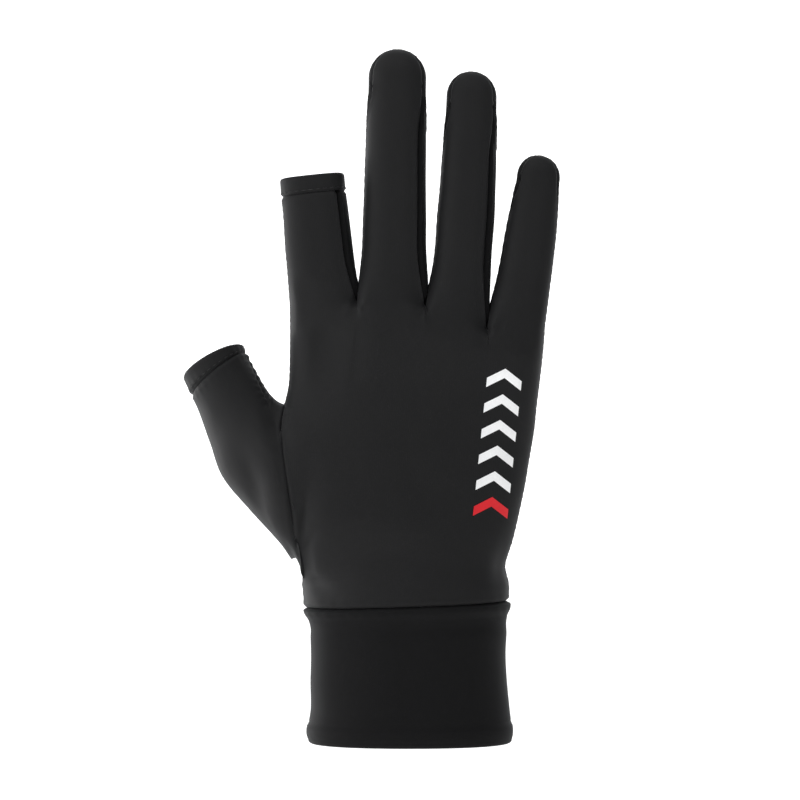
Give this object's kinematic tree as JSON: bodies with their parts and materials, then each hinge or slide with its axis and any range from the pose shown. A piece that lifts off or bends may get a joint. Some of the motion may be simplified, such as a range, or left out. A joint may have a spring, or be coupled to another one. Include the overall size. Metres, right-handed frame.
{
  "type": "fishing glove",
  "caption": "Slim right-hand fishing glove in black stretch knit with open index and thumb tips, strips between the fingers and a doubled knit cuff.",
  "frame": {"origin": "centre of the cuff's mouth, where the wrist goes in", "axes": "+Z from the cuff's mouth to the fingertips, the thumb to -X, the back of the hand to -Y and the palm to +Y"},
  "size_m": [0.125, 0.0434, 0.2315],
  "materials": {
    "back_knit": "smooth matt stretch knit with a soft sheen",
    "palm_knit": "matt stretch knit",
    "strip_knit": "matt stretch knit",
    "hem_knit": "folded stretch knit with a stitched line",
    "cuff_knit": "doubled stretch knit, matt",
    "seam_thread": "black polyester thread",
    "print_white": "thin matt transfer film, white",
    "print_red": "thin matt transfer film, red"
  },
  "bodies": {
    "root": {"back_panel": "back_knit", "palm_panel": "palm_knit", "fourchette_index_middle": "strip_knit", "fourchette_middle_ring": "strip_knit", "fourchette_ring_little": "strip_knit", "thumb_panel": "back_knit", "index_hem": "hem_knit", "thumb_hem": "hem_knit", "cuff": "cuff_knit"}
  },
  "joints": []
}
